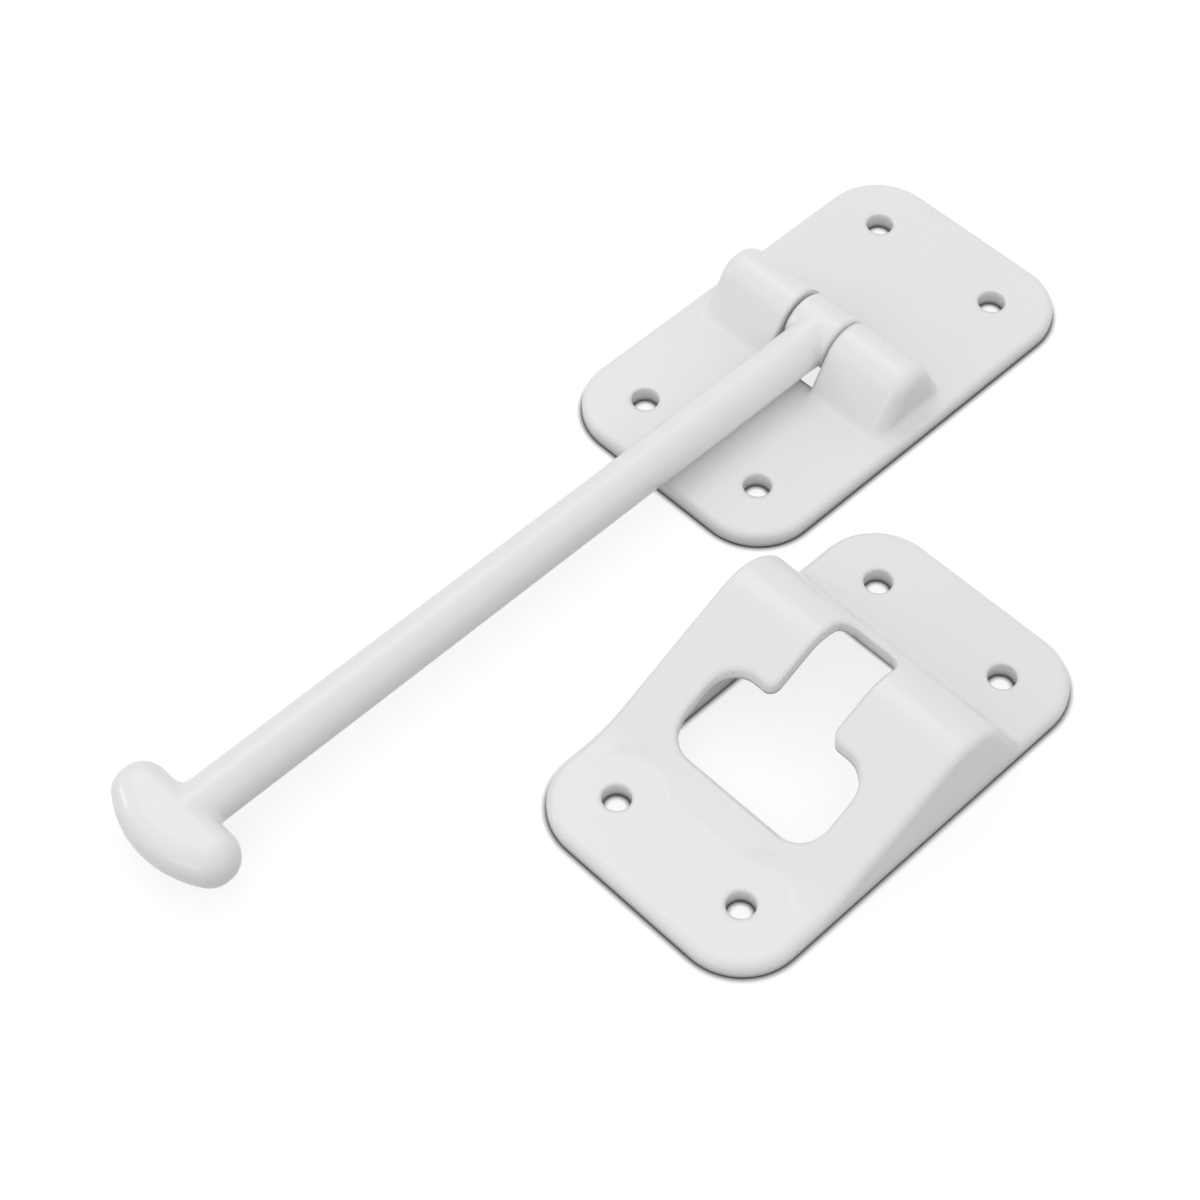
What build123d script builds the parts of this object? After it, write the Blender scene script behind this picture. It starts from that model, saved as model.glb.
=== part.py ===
from build123d import *
import math
import os

# Door holder: a T-headed arm hinged on a screwed base plate, and the catch plate that takes its head.
# Millimetres. The origin is the centre of the base plate's back face, X runs across the plates,
# the arm lies along -Y and +Z points out of the mounting face.

# Screws and plate, shared by the base and the catch
SCREW_PITCH_X = 25.4
SCREW_PITCH_Y = 57.15
SCREW_BORE = 4.6
SCREW_EDGE = 10.4
CORNER_RADIUS = 10.4
PLATE_THICKNESS = 2.8
RIM_ROUND = 1.2
BACK_CHAMFER = 0.3

# Arm
ARM_REACH = 143.6
SHAFT_DIAMETER = 7.9
SHAFT_FLOAT = 0.45
KNUCKLE_WIDTH = 9.0
KNUCKLE_CHAMFER = 0.5
ROOT_SETBACK = 0.1
HEAD_WIDTH = 24.2
HEAD_DEPTH = 11.2
HEAD_OVER_SHAFT = 0.1
HEAD_CROWN_HEIGHT = 4.4
HEAD_CORNER_RADIUS = 4.2
HEAD_FACE_LAND = 0.3
NECK_FILLET = 1.8

# Hinge: two ears with a slot between them, and a pin snapped in from behind
EAR_RADIUS = 5.0
EAR_RIM_LAND = 0.1
EAR_FOOT_SPREAD = 4.6
EAR_ROUND = 2.4
EAR_FOOT_FILLET = 1.6
KNUCKLE_SIDE_PLAY = 0.55
KNUCKLE_WELL_PLAY = 2.1
PIN_DIAMETER = 3.2
PIN_RUNNING_CLEARANCE = 0.05
PIN_END_WALL = 4.0
PIN_SNAP = 0.15
PIN_CHAMFER = 0.3

# Catch: place beside the base, wedge profile and keyhole
CATCH_X = 51.9
CATCH_Y = -57.6
WEDGE_NEAR_LAND = 7.1
WEDGE_FAR_LAND = 7.4
WEDGE_HEIGHT = 16.7
CREST_RADIUS = 9.0
CREST_SETBACK = 13.6
RAMP_FOOT_FILLET = 18.0
DROP_FOOT_FILLET = 2.5
CATCH_ROUND = 1.5
SHELL_WALL = 2.2
SCREW_LANDING_RADIUS = 8.4
MIDDLE_LANDING = 6.4
SCREW_LANDING_FILLET = 3.0
ENTRY_LAND = 4.4
ENTRY_SIDE_CLEARANCE = 2.3
ENTRY_CLEARANCE = 5.9
ENTRY_CORNER_RADIUS = 5.0
SLOT_CLEARANCE = 1.75
SLOT_PAST_CREST = 4.7
SLOT_CORNER_RADIUS = 2.4
SLOT_MOUTH_ROUND = 1.8
POCKET_CLEARANCE = 4.4
POCKET_NEAR_WALL = 2.2
KEYHOLE_CHAMFER = 0.5

# Derived sizes of the plates
PLATE_WIDTH = SCREW_PITCH_X + 2 * SCREW_EDGE
PLATE_LENGTH = SCREW_PITCH_Y + 2 * SCREW_EDGE

# Derived sizes of the arm
HEAD_THICKNESS = SHAFT_DIAMETER + HEAD_OVER_SHAFT
HEAD_ROUND = HEAD_THICKNESS / 2 - HEAD_FACE_LAND
HEAD_CROWN_RADIUS = (HEAD_WIDTH**2 / 4 + HEAD_CROWN_HEIGHT**2) / (2 * HEAD_CROWN_HEIGHT)

# Derived sizes of the hinge
PIVOT_HEIGHT = PLATE_THICKNESS + SHAFT_DIAMETER / 2 + SHAFT_FLOAT
EAR_END = PLATE_WIDTH / 2 - RIM_ROUND - EAR_RIM_LAND - EAR_FOOT_FILLET
EAR_FOOT = EAR_RADIUS + EAR_FOOT_SPREAD
HINGE_SLOT_WIDTH = KNUCKLE_WIDTH + 2 * KNUCKLE_SIDE_PLAY
KNUCKLE_WELL_LENGTH = 2 * (EAR_RADIUS + KNUCKLE_WELL_PLAY)
ROOT_FLARE_LENGTH = KNUCKLE_WELL_LENGTH / 2
PIN_LENGTH = 2 * (EAR_END - PIN_END_WALL)

# Derived sizes of the catch, from the centre of its plate
RAMP_FOOT_Y = WEDGE_NEAR_LAND - SCREW_PITCH_Y / 2
DROP_FOOT_Y = SCREW_PITCH_Y / 2 - WEDGE_FAR_LAND
CREST_Y = DROP_FOOT_Y - CREST_SETBACK
CREST_Z = WEDGE_HEIGHT - CREST_RADIUS
ENTRY_NEAR_Y = RAMP_FOOT_Y + ENTRY_LAND
ENTRY_FAR_Y = ENTRY_NEAR_Y + HEAD_THICKNESS + ENTRY_CLEARANCE
ENTRY_WIDTH = HEAD_WIDTH + 2 * ENTRY_SIDE_CLEARANCE
SLOT_END_Y = CREST_Y + SLOT_PAST_CREST
SLOT_WIDTH = SHAFT_DIAMETER + 2 * SLOT_CLEARANCE
POCKET_WIDTH = HEAD_WIDTH + 2 * POCKET_CLEARANCE
POCKET_NEAR_Y = ENTRY_NEAR_Y - POCKET_NEAR_WALL

UPRIGHT_TOLERANCE = 1e-6
PLACE_TOLERANCE = 1e-3
UPRIGHT = (Align.CENTER, Align.CENTER, Align.MIN)


def plate():
    """Flat plate with round corners, a rounded upper rim and a broken back edge."""
    blank = extrude(RectangleRounded(PLATE_WIDTH, PLATE_LENGTH, CORNER_RADIUS), PLATE_THICKNESS)
    blank = chamfer(blank.faces().sort_by(Axis.Z)[0].edges(), BACK_CHAMFER)
    rim = blank.faces().sort_by(Axis.Z)[-1].edges()
    return fillet(rim, RIM_ROUND)


def screw_holes():
    """Four plain holes on the screw pattern."""
    bore = Cylinder(SCREW_BORE / 2, PLATE_THICKNESS, align=UPRIGHT)
    return [place * bore for place in GridLocations(SCREW_PITCH_X, SCREW_PITCH_Y, 2, 2)]


def across(radius, length):
    """Round bar along X on the hinge axis."""
    return Pos(0, 0, PIVOT_HEIGHT) * Rot(0, 90, 0) * Cylinder(radius, length)


def hinge_ears():
    """Ridge across the plate: a round crest about the pin, with flanks that spread to the foot."""
    crest = Pos(0, PIVOT_HEIGHT) * Circle(EAR_RADIUS)
    foot = Line((-EAR_FOOT, 0), (EAR_FOOT, 0))
    profile = make_hull([*crest.edges(), *foot.edges()])
    ridge = extrude(Plane.YZ * profile, EAR_END, both=True)
    ends = [ridge.faces().sort_by(Axis.X)[i] for i in (0, -1)]
    rims = [edge for end in ends for edge in end.edges() if edge.bounding_box().max.Z > PLATE_THICKNESS]
    return fillet(rims, EAR_ROUND)


def pin_groove():
    """Seat for the hinge pin, reached from the back through a neck that the pin snaps past."""
    neck_width = PIN_DIAMETER - 2 * PIN_SNAP
    neck = Box(PIN_LENGTH, neck_width, PIVOT_HEIGHT, align=UPRIGHT)
    return across(PIN_DIAMETER / 2, PIN_LENGTH) + neck


def base_plate():
    """Plate with the hinge ears, the slot between them and the groove for the pin."""
    flat, ears = plate(), hinge_ears()
    body = flat + ears
    body = fillet(new_edges(flat, ears, combined=body), EAR_FOOT_FILLET)
    gap_height = PIVOT_HEIGHT + EAR_RADIUS
    gap = Pos(0, 0, PLATE_THICKNESS) * Box(HINGE_SLOT_WIDTH, PLATE_LENGTH, gap_height, align=UPRIGHT)
    well = Box(HINGE_SLOT_WIDTH, KNUCKLE_WELL_LENGTH, gap_height, align=UPRIGHT)
    return body - gap - well - pin_groove() - screw_holes()


def t_head():
    """Rounded cross bar at the arm's end, straight on the shaft's side and crowned on the outer side."""
    middle = HEAD_DEPTH / 2 - ARM_REACH
    block = Pos(0, middle) * Rectangle(HEAD_WIDTH, HEAD_DEPTH)
    crown = Pos(0, HEAD_CROWN_RADIUS - ARM_REACH) * Circle(HEAD_CROWN_RADIUS)
    outline = block & crown
    outline = fillet(outline.vertices(), HEAD_CORNER_RADIUS)
    bar = extrude(Pos(0, 0, PIVOT_HEIGHT) * outline, HEAD_THICKNESS / 2, both=True)
    rims = [edge for i in (0, -1) for edge in bar.faces().sort_by(Axis.Z)[i].edges()]
    return fillet(rims, HEAD_ROUND)


def t_arm():
    """Knuckle, shaft and head, moulded in one."""
    along = Plane(origin=(0, 0, PIVOT_HEIGHT), x_dir=(1, 0, 0), z_dir=(0, -1, 0))
    shaft_radius = SHAFT_DIAMETER / 2
    shaft_length = ARM_REACH - HEAD_DEPTH / 2 - ROOT_FLARE_LENGTH
    shaft_start = along * Pos(0, 0, ROOT_FLARE_LENGTH)
    shaft = shaft_start * Cylinder(shaft_radius, shaft_length, align=UPRIGHT)
    head = t_head()
    arm = shaft + head
    arm = fillet(new_edges(shaft, head, combined=arm), NECK_FILLET)
    flare_start = along * Ellipse(shaft_radius, EAR_RADIUS - ROOT_SETBACK)
    arm += loft([flare_start, shaft_start * Circle(shaft_radius)])
    knuckle = across(EAR_RADIUS, KNUCKLE_WIDTH)
    knuckle = chamfer(knuckle.edges().filter_by(GeomType.CIRCLE), KNUCKLE_CHAMFER)
    return arm + knuckle - across(PIN_DIAMETER / 2 + PIN_RUNNING_CLEARANCE, KNUCKLE_WIDTH)


def tangent_angle(foot_y, side):
    """Direction from the crest's centre to where a line from the foot touches the crest."""
    run = foot_y - CREST_Y
    rise = PLATE_THICKNESS - CREST_Z
    return math.atan2(rise, run) + side * math.acos(CREST_RADIUS / math.hypot(run, rise))


def around_crest(radius, angle):
    """Point of the side view at a distance from the crest's centre."""
    return CREST_Y + radius * math.cos(angle), CREST_Z + radius * math.sin(angle)


def wedge_profile():
    """Side view of the catch: plate, ramp, round crest and steep drop, with hollow feet."""
    ramp_top = around_crest(CREST_RADIUS, tangent_angle(RAMP_FOOT_Y, -1))
    drop_top = around_crest(CREST_RADIUS, tangent_angle(DROP_FOOT_Y, 1))
    near_end, far_end = -PLATE_LENGTH / 2, PLATE_LENGTH / 2
    flat_and_ramp = Polyline(
        drop_top,
        (DROP_FOOT_Y, PLATE_THICKNESS),
        (far_end, PLATE_THICKNESS),
        (far_end, 0),
        (near_end, 0),
        (near_end, PLATE_THICKNESS),
        (RAMP_FOOT_Y, PLATE_THICKNESS),
        ramp_top,
    )
    crest = ThreePointArc(ramp_top, (CREST_Y, WEDGE_HEIGHT), drop_top)
    profile = make_face([*flat_and_ramp.edges(), *crest.edges()])
    for foot_y, radius in ((RAMP_FOOT_Y, RAMP_FOOT_FILLET), (DROP_FOOT_Y, DROP_FOOT_FILLET)):
        corner = profile.vertices().sort_by_distance((foot_y, PLATE_THICKNESS))[0]
        profile = fillet(corner, radius)
    return profile


def pocket_profile():
    """Side view of the hollow under the wedge, one wall thickness inside it and open at the back."""
    radius = CREST_RADIUS - SHELL_WALL
    ramp_turn = tangent_angle(RAMP_FOOT_Y, -1)
    drop_turn = tangent_angle(DROP_FOOT_Y, 1)
    ramp_top = around_crest(radius, ramp_turn)
    drop_top = around_crest(radius, drop_turn)
    drop_foot = drop_top[0] + drop_top[1] * math.tan(drop_turn)
    near_height = ramp_top[1] - (ramp_top[0] - POCKET_NEAR_Y) / math.tan(math.pi - ramp_turn)
    sides = Polyline(
        drop_top,
        (drop_foot, 0),
        (POCKET_NEAR_Y, 0),
        (POCKET_NEAR_Y, near_height),
        ramp_top,
    )
    crest = ThreePointArc(ramp_top, (CREST_Y, CREST_Z + radius), drop_top)
    return make_face([*sides.edges(), *crest.edges()])


def keyhole():
    """Opening seen from the front: a wide entry for the head, and a slot that only the shaft passes."""
    entry_length = ENTRY_FAR_Y - ENTRY_NEAR_Y
    slot_length = SLOT_END_Y - ENTRY_NEAR_Y
    entry = RectangleRounded(ENTRY_WIDTH, entry_length, ENTRY_CORNER_RADIUS)
    entry = Pos(0, ENTRY_NEAR_Y + entry_length / 2) * entry
    slot = Pos(0, ENTRY_NEAR_Y + slot_length / 2) * Rectangle(SLOT_WIDTH, slot_length)
    opening = entry + slot
    for corner_y, radius in ((SLOT_END_Y, SLOT_CORNER_RADIUS), (ENTRY_FAR_Y, SLOT_MOUTH_ROUND)):
        for side in (-1, 1):
            corner = opening.vertices().sort_by_distance((side * SLOT_WIDTH / 2, corner_y))[0]
            opening = fillet(corner, radius)
    return opening


def lies_on(edge, outline):
    """Tells whether an edge's middle is straight above an outline."""
    middle = edge @ 0.5
    return outline.distance_to((middle.X, middle.Y, 0)) < PLACE_TOLERANCE


def landings():
    """Cut that clears the ramp's foot: round the two near screws, and straight between them."""
    depth = 2 * SCREW_LANDING_FILLET
    seat = Cone(SCREW_LANDING_RADIUS, SCREW_LANDING_RADIUS + depth, depth, align=UPRIGHT)
    seat = fillet(seat.edges().sort_by(Axis.Z)[0], SCREW_LANDING_FILLET)
    profile = Polygon((0, 0), (MIDDLE_LANDING, 0), (MIDDLE_LANDING + depth, depth), (0, depth), align=None)
    profile = fillet(profile.vertices().sort_by_distance((MIDDLE_LANDING, 0))[0], SCREW_LANDING_FILLET)
    middle = extrude(Plane.YZ * profile, SCREW_PITCH_X / 2, both=True)
    return middle + [place * seat for place in GridLocations(SCREW_PITCH_X, 0, 2, 1)]


def catch_plate():
    """Plate with a hollow wedge across it and a keyhole through the wedge's ramp."""
    outline = extrude(RectangleRounded(PLATE_WIDTH, PLATE_LENGTH, CORNER_RADIUS), WEDGE_HEIGHT)
    body = extrude(Plane.YZ * wedge_profile(), PLATE_WIDTH / 2, both=True) & outline
    walls = [face for face in body.faces() if abs(face.normal_at(face.center()).Z) < UPRIGHT_TOLERANCE]
    edges = [edge for wall in walls for edge in wall.edges()]
    rims = [edge for edge in edges if edge.bounding_box().min.Z > PLATE_THICKNESS / 2]
    body = fillet(rims, CATCH_ROUND)
    body = chamfer(body.faces().sort_by(Axis.Z)[0].edges(), BACK_CHAMFER)
    body -= Pos(0, -SCREW_PITCH_Y / 2, PLATE_THICKNESS) * landings()
    opening = keyhole()
    body -= extrude(opening, WEDGE_HEIGHT)
    upper = [edge for edge in body.edges() if edge.bounding_box().min.Z > PLATE_THICKNESS]
    mouth = [edge for edge in upper if lies_on(edge, opening.wire())]
    body = chamfer(mouth, KEYHOLE_CHAMFER)
    body -= extrude(Plane.YZ * pocket_profile(), POCKET_WIDTH / 2, both=True)
    return body - screw_holes()


def hinge_pin():
    """Round steel pin with chamfered ends."""
    pin = across(PIN_DIAMETER / 2, PIN_LENGTH)
    return chamfer(pin.edges().filter_by(GeomType.CIRCLE), PIN_CHAMFER)


pieces = {
    "base_plate": base_plate(),
    "t_arm": t_arm(),
    "hinge_pin": hinge_pin(),
    "catch_plate": Pos(CATCH_X, CATCH_Y) * catch_plate(),
}

os.makedirs("parts", exist_ok=True)
for name, piece in pieces.items():
    export_step(piece, f"parts/{name}.step")
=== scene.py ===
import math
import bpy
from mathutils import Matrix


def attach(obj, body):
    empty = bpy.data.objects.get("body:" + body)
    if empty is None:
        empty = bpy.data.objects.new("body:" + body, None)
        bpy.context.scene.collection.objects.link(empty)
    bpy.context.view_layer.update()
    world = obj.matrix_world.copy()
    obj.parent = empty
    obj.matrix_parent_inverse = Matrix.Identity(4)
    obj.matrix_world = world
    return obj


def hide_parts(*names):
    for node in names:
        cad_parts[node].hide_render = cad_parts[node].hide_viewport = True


bl_info = {
    "name": "Door holder",
    "version": (1, 0, 0),
    "blender": (4, 5, 0),
    "location": "View3D > Sidebar > Door holder",
    "description": "White door holder: base plate, hinged T-arm, pin and catch plate on a studio floor",
    "category": "Object",
}

import bpy
from mathutils import Vector

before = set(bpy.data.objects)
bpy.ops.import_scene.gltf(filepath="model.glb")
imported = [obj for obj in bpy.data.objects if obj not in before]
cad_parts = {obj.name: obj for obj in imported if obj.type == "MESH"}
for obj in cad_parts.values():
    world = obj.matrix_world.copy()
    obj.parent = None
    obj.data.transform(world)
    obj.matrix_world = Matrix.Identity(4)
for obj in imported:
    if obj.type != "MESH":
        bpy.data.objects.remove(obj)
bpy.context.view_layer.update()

MM = 0.001
PHOTO_PIXELS = 1200
SENSOR_WIDTH = 36.0
NEAREST_SEEN = 0.01
WHITE = (1, 1, 1, 1)

EDGE_SEGMENTS = 2
SOFT_EDGE_SAMPLES = 8
CLOUD_SCALE, CLOUD_DETAIL = 60, 3
GRAIN_SCALE, GRAIN_DETAIL = 2500, 2
GRAIN_SHARE = 0.3
PLASTIC_IOR = 1.5
STEEL_LINE_SCALE, STEEL_LINE_DETAIL = (40, 1500, 1500), 4
STEEL_GLOSS_LOW, STEEL_GLOSS_HIGH = 0.25, 0.45
PAPER_SCALE = 400
PAPER_DARKEST = 0.96
# Share of the sky that the floor sees right by an upright edge, and out in the open; between them the floor's
# painted contact shade fades from dark to none.
BESIDE_EDGE, IN_THE_OPEN = 0.5, 0.95


class HolderFinish(bpy.types.PropertyGroup):
    """Colours and surface of the mouldings and the pin."""

    plastic: bpy.props.FloatVectorProperty(
        name="Plastic", description="Colour of the white moulded plastic",
        subtype="COLOR", size=4, min=0, max=1, default=(0.80, 0.80, 0.80, 1))
    plastic_deep: bpy.props.FloatVectorProperty(
        name="Plastic flow", description="Slightly deeper white where the plastic flowed together",
        subtype="COLOR", size=4, min=0, max=1, default=(0.775, 0.777, 0.78, 1))
    gloss_low: bpy.props.FloatProperty(
        name="Smoothest skin", description="Roughness where the moulded skin is smoothest",
        subtype="FACTOR", min=0, max=1, default=0.2)
    gloss_high: bpy.props.FloatProperty(
        name="Dullest skin", description="Roughness where the moulded skin is dullest",
        subtype="FACTOR", min=0, max=1, default=0.28)
    skin_relief: bpy.props.FloatProperty(
        name="Skin relief", description="Height of the faint unevenness left by the mould",
        subtype="DISTANCE", unit="LENGTH", min=0, default=0.006 * MM)
    soft_edge: bpy.props.FloatProperty(
        name="Soft edge", description="How wide a moulded edge blends from one face to the next in the light",
        subtype="DISTANCE", unit="LENGTH", min=0, default=1.2 * MM)
    steel: bpy.props.FloatVectorProperty(
        name="Pin steel", description="Colour of the drawn steel pin",
        subtype="COLOR", size=4, min=0, max=1, default=(0.56, 0.56, 0.57, 1))
    steel_dark: bpy.props.FloatVectorProperty(
        name="Pin drawing lines", description="Colour of the fine lines along the pin",
        subtype="COLOR", size=4, min=0, max=1, default=(0.42, 0.42, 0.43, 1))


class HolderShape(bpy.types.PropertyGroup):
    """How the mouldings are smoothed and their edges broken."""

    weld: bpy.props.FloatProperty(
        name="Weld", description="Points nearer than this become one",
        subtype="DISTANCE", unit="LENGTH", min=0, default=0.001 * MM)
    flat: bpy.props.FloatProperty(
        name="Flat", description="Neighbouring faces that turn less than this become one",
        subtype="ANGLE", unit="ROTATION", min=0, max=math.pi, default=math.radians(0.2))
    crease: bpy.props.FloatProperty(
        name="Crease", description="Edges that turn more than this stay sharp",
        subtype="ANGLE", unit="ROTATION", min=0, max=math.pi, default=math.radians(50))
    edge: bpy.props.FloatProperty(
        name="Edge", description="Width of the small round that breaks each sharp edge",
        subtype="DISTANCE", unit="LENGTH", min=0, default=0.15 * MM)


class HolderStage(bpy.types.PropertyGroup):
    """Floor, lamps, sky and camera."""

    floor_size: bpy.props.FloatProperty(
        name="Floor", description="Side of the square floor",
        subtype="DISTANCE", unit="LENGTH", min=0.5, default=6.0)
    floor_glow: bpy.props.FloatProperty(
        name="Floor lift", description="Light added to the floor where it is seen, to keep it white",
        min=0, max=1, default=0.8)
    floor_tone: bpy.props.FloatVectorProperty(
        name="Floor tone", description="Floor colour where it is seen, which keeps the holder's shadow",
        subtype="COLOR", size=4, min=0, max=1, default=(0.25, 0.25, 0.25, 1))
    # The contact shade is painted: an occlusion mask darkens the floor's seen colour and its glow within this
    # reach of the holder.
    contact: bpy.props.FloatProperty(
        name="Contact shade", description="How far the dark line reaches where the holder meets the floor",
        subtype="DISTANCE", unit="LENGTH", min=0, default=1.2 * MM)
    # Painted shade: the dark colour painted on the floor along the holder's edges, where it meets the floor.
    painted_shade_tone: bpy.props.FloatVectorProperty(
        name="Contact tone", description="Floor colour right under the holder's edge",
        subtype="COLOR", size=4, min=0, max=1, default=(0.05, 0.05, 0.05, 1))
    bounce: bpy.props.FloatVectorProperty(
        name="Floor bounce", description="Floor colour as it lights the holder from below",
        subtype="COLOR", size=4, min=0, max=1, default=(0.22, 0.22, 0.23, 1))
    key_power: bpy.props.FloatProperty(
        name="Key lamp", description="Power of the lamp high above the far left",
        subtype="POWER", min=0, default=0.9)
    key_size: bpy.props.FloatProperty(
        name="Key lamp size", description="Side of the square key lamp",
        subtype="DISTANCE", unit="LENGTH", min=0.01, default=0.5)
    key_place: bpy.props.FloatVectorProperty(
        name="Key lamp place", description="Where the key lamp stands, from the camera's target",
        subtype="TRANSLATION", unit="LENGTH", size=3, default=(-0.45, 0.25, 0.85))
    fill_power: bpy.props.FloatProperty(
        name="Fill lamp", description="Power of the low lamp beyond the arm's head",
        subtype="POWER", min=0, default=0.7)
    fill_size: bpy.props.FloatProperty(
        name="Fill lamp size", description="Side of the square fill lamp",
        subtype="DISTANCE", unit="LENGTH", min=0.01, default=0.4)
    fill_place: bpy.props.FloatVectorProperty(
        name="Fill lamp place", description="Where the fill lamp stands, from the camera's target",
        subtype="TRANSLATION", unit="LENGTH", size=3, default=(0.1, -0.9, 0.25))
    glint_power: bpy.props.FloatProperty(
        name="Glint lamp", description="Power of the small lamp that shows the gloss on the arm's head",
        subtype="POWER", min=0, default=0.4)
    glint_size: bpy.props.FloatProperty(
        name="Glint lamp size", description="Side of the square glint lamp",
        subtype="DISTANCE", unit="LENGTH", min=0.01, default=0.12)
    glint_place: bpy.props.FloatVectorProperty(
        name="Glint lamp place", description="Where the glint lamp stands, from the camera's target",
        subtype="TRANSLATION", unit="LENGTH", size=3, default=(-0.66, -0.45, 0.31))
    lamp_tint: bpy.props.FloatVectorProperty(
        name="Lamp tint", description="Colour of the lamps",
        subtype="COLOR", size=3, min=0, max=1, default=(1, 0.99, 0.97))
    sky: bpy.props.FloatVectorProperty(
        name="Sky", description="Colour and level of the light from all round",
        subtype="COLOR", size=4, min=0, max=1, default=(0.87, 0.875, 0.89, 1))
    azimuth: bpy.props.FloatProperty(
        name="Azimuth", description="Camera turn round the holder, from the near end of the arm",
        subtype="ANGLE", unit="ROTATION", default=math.radians(45.696))
    elevation: bpy.props.FloatProperty(
        name="Elevation", description="Camera height above the floor, as an angle",
        subtype="ANGLE", unit="ROTATION", default=math.radians(53.226))
    distance: bpy.props.FloatProperty(
        name="Distance", description="From the camera to the point it looks at",
        subtype="DISTANCE", unit="LENGTH", min=0.05, default=428.79 * MM)
    focal_pixels: bpy.props.FloatProperty(
        name="Focal length", description="Focal length in pixels of the square picture",
        min=100, default=2742.2)
    target: bpy.props.FloatVectorProperty(
        name="Target", description="Point on the floor that the camera looks at",
        subtype="TRANSLATION", unit="LENGTH", size=3, default=(9.993 * MM, -61.120 * MM, 0))


def only(obj):
    """Selects one object and makes it active."""
    bpy.ops.object.select_all(action="DESELECT")
    obj.select_set(True)
    bpy.context.view_layer.objects.active = obj


def smooth_copy(node, name, shape):
    """Copies a CAD node's mesh into a new piece, welds it, breaks its sharp edges and smooths the rest."""
    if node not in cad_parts:
        raise RuntimeError(f"the frame has no {node}")
    piece = bpy.data.objects.new(name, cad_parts[node].data.copy())
    piece.data.name = name
    piece.data.materials.clear()
    bpy.context.scene.collection.objects.link(piece)
    only(piece)
    bpy.ops.object.mode_set(mode="EDIT")
    bpy.ops.mesh.customdata_custom_splitnormals_clear()
    bpy.ops.mesh.select_all(action="SELECT")
    bpy.ops.mesh.remove_doubles(threshold=shape.weld)
    bpy.ops.mesh.dissolve_limited(angle_limit=shape.flat)
    bpy.ops.object.mode_set(mode="OBJECT")
    broken = piece.modifiers.new("Broken edges", "BEVEL")
    broken.limit_method = "ANGLE"
    broken.angle_limit = shape.crease
    broken.width = shape.edge
    broken.segments = EDGE_SEGMENTS
    bpy.ops.object.modifier_apply(modifier=broken.name)
    bpy.ops.object.shade_smooth_by_angle(angle=shape.crease)
    even = piece.modifiers.new("Even normals", "WEIGHTED_NORMAL")
    even.keep_sharp = True
    bpy.ops.object.modifier_apply(modifier=even.name)
    return piece


def dress(piece, material, body, node):
    """Gives a piece its material and body, and hides the CAD node it stands for."""
    piece.data.materials.append(material)
    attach(piece, body)
    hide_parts(node)


def socket(tree, name, in_out, kind, default=None):
    """Adds a named socket to a node group."""
    made = tree.interface.new_socket(name=name, in_out=in_out, socket_type=kind)
    if default is not None:
        made.default_value = default
    return made


def moulded_skin():
    """Node group for a moulded surface: a soft cloud, a fine grain and their height."""
    name = "Moulded skin"
    if name in bpy.data.node_groups:
        return bpy.data.node_groups[name]
    tree = bpy.data.node_groups.new(name, "ShaderNodeTree")
    socket(tree, "Vector", "INPUT", "NodeSocketVector")
    socket(tree, "Cloud scale", "INPUT", "NodeSocketFloat", CLOUD_SCALE)
    socket(tree, "Grain scale", "INPUT", "NodeSocketFloat", GRAIN_SCALE)
    socket(tree, "Cloud", "OUTPUT", "NodeSocketFloat")
    socket(tree, "Height", "OUTPUT", "NodeSocketFloat")
    nodes, links = tree.nodes, tree.links
    group_in = nodes.new("NodeGroupInput")
    group_out = nodes.new("NodeGroupOutput")
    cloud = nodes.new("ShaderNodeTexNoise")
    cloud.inputs["Detail"].default_value = CLOUD_DETAIL
    grain = nodes.new("ShaderNodeTexNoise")
    grain.inputs["Detail"].default_value = GRAIN_DETAIL
    blend = nodes.new("ShaderNodeMix")
    blend.data_type = "FLOAT"
    blend.inputs["Factor"].default_value = GRAIN_SHARE
    for texture, scale in ((cloud, "Cloud scale"), (grain, "Grain scale")):
        links.new(group_in.outputs["Vector"], texture.inputs["Vector"])
        links.new(group_in.outputs[scale], texture.inputs["Scale"])
    links.new(cloud.outputs["Fac"], blend.inputs["A"])
    links.new(grain.outputs["Fac"], blend.inputs["B"])
    links.new(cloud.outputs["Fac"], group_out.inputs["Cloud"])
    links.new(blend.outputs["Result"], group_out.inputs["Height"])
    return tree


def new_material(name):
    """An empty material with its Principled shader and object coordinates."""
    material = bpy.data.materials.new(name)
    material.use_nodes = True
    nodes = material.node_tree.nodes
    shader = nodes["Principled BSDF"]
    place = nodes.new("ShaderNodeTexCoord")
    return material, nodes, material.node_tree.links, shader, place.outputs["Object"]


def ramp_between(nodes, links, mask, low, high):
    """Colour that goes from low to high with a mask."""
    mix = nodes.new("ShaderNodeMix")
    mix.data_type = "RGBA"
    mix.inputs["A"].default_value = low
    mix.inputs["B"].default_value = high
    links.new(mask, mix.inputs["Factor"])
    return mix.outputs["Result"]


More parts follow.
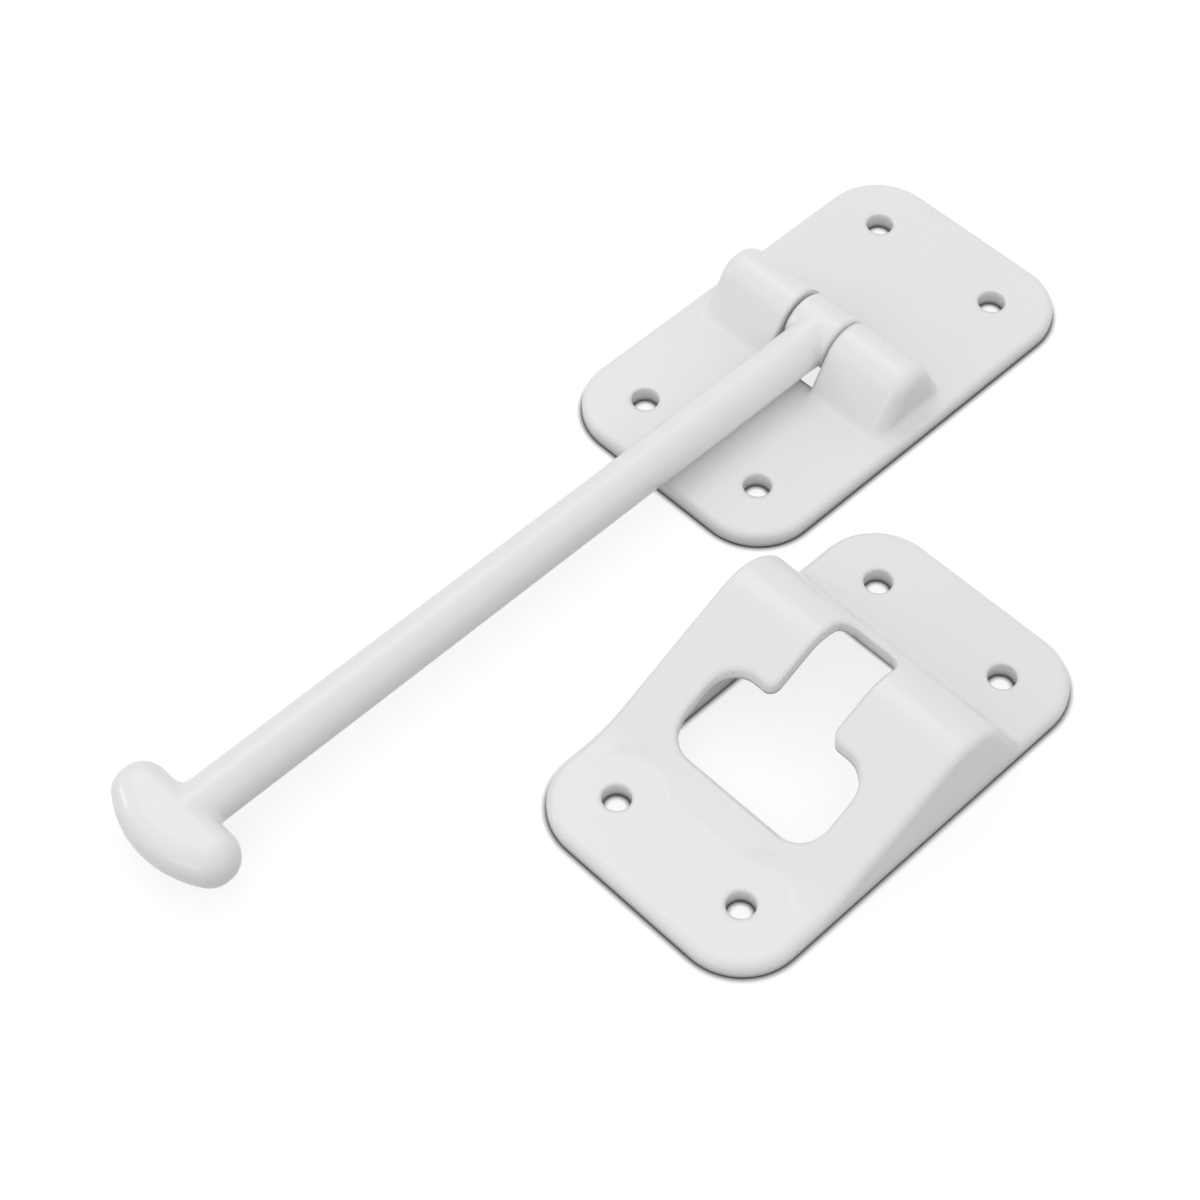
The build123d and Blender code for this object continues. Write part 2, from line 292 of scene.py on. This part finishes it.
def white_plastic(finish):
    """White moulded plastic with a faint cloud, uneven gloss, soft edges and a slight relief."""
    name = "White moulded plastic"
    if name in bpy.data.materials:
        return bpy.data.materials[name]
    material, nodes, links, shader, place = new_material(name)
    skin = nodes.new("ShaderNodeGroup")
    skin.node_tree = moulded_skin()
    links.new(place, skin.inputs["Vector"])
    colour = ramp_between(nodes, links, skin.outputs["Cloud"], finish.plastic_deep, finish.plastic)
    links.new(colour, shader.inputs["Base Color"])
    gloss = nodes.new("ShaderNodeMapRange")
    gloss.inputs["To Min"].default_value = finish.gloss_low
    gloss.inputs["To Max"].default_value = finish.gloss_high
    links.new(skin.outputs["Height"], gloss.inputs["Value"])
    links.new(gloss.outputs["Result"], shader.inputs["Roughness"])
    bump = nodes.new("ShaderNodeBump")
    bump.inputs["Distance"].default_value = finish.skin_relief
    soft = nodes.new("ShaderNodeBevel")
    soft.samples = SOFT_EDGE_SAMPLES
    soft.inputs["Radius"].default_value = finish.soft_edge
    links.new(soft.outputs["Normal"], bump.inputs["Normal"])
    links.new(skin.outputs["Height"], bump.inputs["Height"])
    links.new(bump.outputs["Normal"], shader.inputs["Normal"])
    shader.inputs["IOR"].default_value = PLASTIC_IOR
    return material


def drawn_steel(finish):
    """Plain drawn steel with fine lines along the pin."""
    material, nodes, links, shader, place = new_material("Drawn steel")
    stretch = nodes.new("ShaderNodeMapping")
    stretch.inputs["Scale"].default_value = STEEL_LINE_SCALE
    links.new(place, stretch.inputs["Vector"])
    lines = nodes.new("ShaderNodeTexNoise")
    lines.inputs["Scale"].default_value = 1
    lines.inputs["Detail"].default_value = STEEL_LINE_DETAIL
    links.new(stretch.outputs["Vector"], lines.inputs["Vector"])
    colour = ramp_between(nodes, links, lines.outputs["Fac"], finish.steel_dark, finish.steel)
    links.new(colour, shader.inputs["Base Color"])
    gloss = nodes.new("ShaderNodeMapRange")
    gloss.inputs["To Min"].default_value = STEEL_GLOSS_LOW
    gloss.inputs["To Max"].default_value = STEEL_GLOSS_HIGH
    links.new(lines.outputs["Fac"], gloss.inputs["Value"])
    links.new(gloss.outputs["Result"], shader.inputs["Roughness"])
    shader.inputs["Metallic"].default_value = 1
    return material


class HOLDER_OT_base_plate(bpy.types.Operator):
    """Base plate with its two hinge ears"""

    bl_idname = "holder.base_plate"
    bl_label = "Base plate"

    def execute(self, context):
        scene = context.scene
        piece = smooth_copy("base_plate", "base_moulding", scene.holder_shape)
        dress(piece, white_plastic(scene.holder_finish), "base", "base_plate")
        return {"FINISHED"}


class HOLDER_OT_t_arm(bpy.types.Operator):
    """Hinged arm with its T-shaped head"""

    bl_idname = "holder.t_arm"
    bl_label = "T-arm"

    def execute(self, context):
        scene = context.scene
        piece = smooth_copy("t_arm", "arm_moulding", scene.holder_shape)
        dress(piece, white_plastic(scene.holder_finish), "arm", "t_arm")
        return {"FINISHED"}


class HOLDER_OT_hinge_pin(bpy.types.Operator):
    """Steel pin that the arm turns on"""

    bl_idname = "holder.hinge_pin"
    bl_label = "Hinge pin"

    def execute(self, context):
        scene = context.scene
        piece = smooth_copy("hinge_pin", "steel_pin", scene.holder_shape)
        dress(piece, drawn_steel(scene.holder_finish), "base", "hinge_pin")
        return {"FINISHED"}


class HOLDER_OT_catch_plate(bpy.types.Operator):
    """Catch plate with its hollow wedge and keyhole"""

    bl_idname = "holder.catch_plate"
    bl_label = "Catch plate"

    def execute(self, context):
        scene = context.scene
        piece = smooth_copy("catch_plate", "catch_moulding", scene.holder_shape)
        dress(piece, white_plastic(scene.holder_finish), "base", "catch_plate")
        return {"FINISHED"}


def any_of(nodes, links, outputs):
    """Mask that is one where any of the given values is one."""
    mask = outputs[0]
    for other in outputs[1:]:
        larger = nodes.new("ShaderNodeMath")
        larger.operation = "MAXIMUM"
        links.new(mask, larger.inputs[0])
        links.new(other, larger.inputs[1])
        mask = larger.outputs["Value"]
    return mask


def seen_directly(nodes, links):
    """Mask of the rays that show the background: camera, mirror and glass rays."""
    path = nodes.new("ShaderNodeLightPath")
    kinds = ("Is Camera Ray", "Is Glossy Ray", "Is Transmission Ray")
    return any_of(nodes, links, [path.outputs[kind] for kind in kinds])


def white_floor(stage):
    """Floor that the camera sees as white, with the holder's shadow kept on it and a painted contact shade
    along the holder's edges.
    """
    material, nodes, links, shader, place = new_material("White floor")
    nodes.remove(shader)
    output = nodes["Material Output"]
    paper = nodes.new("ShaderNodeTexNoise")
    paper.inputs["Scale"].default_value = PAPER_SCALE
    links.new(place, paper.inputs["Vector"])
    darker = [level * PAPER_DARKEST for level in stage.bounce[:3]]
    tone = ramp_between(nodes, links, paper.outputs["Fac"], (*darker, 1), stage.bounce)
    plain = nodes.new("ShaderNodeBsdfDiffuse")
    links.new(tone, plain.inputs["Color"])
    # Painted contact shade: an occlusion mask darkens the floor's seen colour near the holder's edges.
    contact = nodes.new("ShaderNodeAmbientOcclusion")
    contact.inputs["Distance"].default_value = stage.contact
    painted_shade_mask = nodes.new("ShaderNodeMapRange")
    painted_shade_mask.inputs["From Min"].default_value = BESIDE_EDGE
    painted_shade_mask.inputs["From Max"].default_value = IN_THE_OPEN
    links.new(contact.outputs["AO"], painted_shade_mask.inputs["Value"])
    seen_tone_with_painted_shade = ramp_between(nodes, links, painted_shade_mask.outputs["Result"], stage.painted_shade_tone, stage.floor_tone)
    seen = nodes.new("ShaderNodeBsdfDiffuse")
    links.new(seen_tone_with_painted_shade, seen.inputs["Color"])
    # The glow is painted darker along the holder's edges too, with the same painted shade mask.
    white = ramp_between(nodes, links, painted_shade_mask.outputs["Result"], stage.painted_shade_tone, WHITE)
    glow = nodes.new("ShaderNodeEmission")
    links.new(white, glow.inputs["Color"])
    glow.inputs["Strength"].default_value = stage.floor_glow
    lifted = nodes.new("ShaderNodeAddShader")
    links.new(seen.outputs["BSDF"], lifted.inputs[0])
    links.new(glow.outputs["Emission"], lifted.inputs[1])
    mix = nodes.new("ShaderNodeMixShader")
    links.new(seen_directly(nodes, links), mix.inputs["Fac"])
    links.new(plain.outputs["BSDF"], mix.inputs[1])
    links.new(lifted.outputs["Shader"], mix.inputs[2])
    links.new(mix.outputs["Shader"], output.inputs["Surface"])
    return material


def studio_world(sky):
    """World that lights softly from all round and looks white to the camera."""
    world = bpy.data.worlds.new("Studio")
    bpy.context.scene.world = world
    world.use_nodes = True
    nodes, links = world.node_tree.nodes, world.node_tree.links
    ambient = nodes["Background"]
    ambient.inputs["Color"].default_value = sky
    white = nodes.new("ShaderNodeBackground")
    white.inputs["Color"].default_value = WHITE
    mix = nodes.new("ShaderNodeMixShader")
    links.new(seen_directly(nodes, links), mix.inputs["Fac"])
    links.new(ambient.outputs["Background"], mix.inputs[1])
    links.new(white.outputs["Background"], mix.inputs[2])
    links.new(mix.outputs["Shader"], nodes["World Output"].inputs["Surface"])


def softbox(name, place, aim, size, power, colour):
    """Square lamp at a place, turned towards a point."""
    bpy.ops.object.light_add(type="AREA", location=place)
    lamp = bpy.context.object
    lamp.name = name
    lamp.data.shape = "SQUARE"
    lamp.data.size = size
    lamp.data.energy = power
    lamp.data.color = colour
    lamp.rotation_euler = (Vector(place) - Vector(aim)).to_track_quat("Z", "Y").to_euler()


class HOLDER_OT_stage(bpy.types.Operator):
    """Floor, lamps, world and camera"""

    bl_idname = "holder.stage"
    bl_label = "Stage"

    def execute(self, context):
        scene = context.scene
        stage = scene.holder_stage
        bpy.ops.object.select_all(action="DESELECT")
        bpy.ops.mesh.primitive_plane_add(size=stage.floor_size)
        floor = context.object
        floor.name = "studio_floor"
        floor.data.materials.append(white_floor(stage))
        studio_world(stage.sky)
        target = Vector(stage.target)
        lamps = (
            ("key_lamp", stage.key_place, stage.key_size, stage.key_power),
            ("fill_lamp", stage.fill_place, stage.fill_size, stage.fill_power),
            ("glint_lamp", stage.glint_place, stage.glint_size, stage.glint_power),
        )
        for name, place, size, power in lamps:
            softbox(name, target + Vector(place), target, size, power, stage.lamp_tint)
        level = math.cos(stage.elevation)
        back = Vector((
            math.sin(stage.azimuth) * level,
            -math.cos(stage.azimuth) * level,
            math.sin(stage.elevation),
        ))
        bpy.ops.object.camera_add(
            location=target + back * stage.distance,
            rotation=(math.pi / 2 - stage.elevation, 0, stage.azimuth))
        camera = context.object
        camera.name = "photo_camera"
        camera.data.sensor_width = SENSOR_WIDTH
        camera.data.lens = stage.focal_pixels / PHOTO_PIXELS * SENSOR_WIDTH
        camera.data.clip_start = NEAREST_SEEN
        scene.camera = camera
        scene.view_settings.view_transform = "Standard"
        return {"FINISHED"}


OPERATORS = (
    HOLDER_OT_base_plate,
    HOLDER_OT_t_arm,
    HOLDER_OT_hinge_pin,
    HOLDER_OT_catch_plate,
    HOLDER_OT_stage,
)


class HOLDER_PT_pieces(bpy.types.Panel):
    """Lists the holder's pieces and the stage"""

    bl_idname = "HOLDER_PT_pieces"
    bl_label = "Door holder"
    bl_space_type = "VIEW_3D"
    bl_region_type = "UI"
    bl_category = "Door holder"

    def draw(self, context):
        for operator in OPERATORS:
            self.layout.operator(operator.bl_idname)
        for group in (context.scene.holder_finish, context.scene.holder_shape, context.scene.holder_stage):
            for field in group.bl_rna.properties:
                if field.identifier not in {"rna_type", "name"}:
                    self.layout.prop(group, field.identifier)


GROUPS = {"holder_finish": HolderFinish, "holder_shape": HolderShape, "holder_stage": HolderStage}


def register():
    for made in (*GROUPS.values(), *OPERATORS, HOLDER_PT_pieces):
        bpy.utils.register_class(made)
    for name, group in GROUPS.items():
        setattr(bpy.types.Scene, name, bpy.props.PointerProperty(type=group))


def unregister():
    for name in GROUPS:
        delattr(bpy.types.Scene, name)
    for made in reversed((*GROUPS.values(), *OPERATORS, HOLDER_PT_pieces)):
        bpy.utils.unregister_class(made)


def main():
    """Builds every piece and the stage."""
    register()
    bpy.ops.holder.base_plate()
    bpy.ops.holder.t_arm()
    bpy.ops.holder.hinge_pin()
    bpy.ops.holder.catch_plate()
    bpy.ops.holder.stage()


if __name__ == "__main__":
    main()
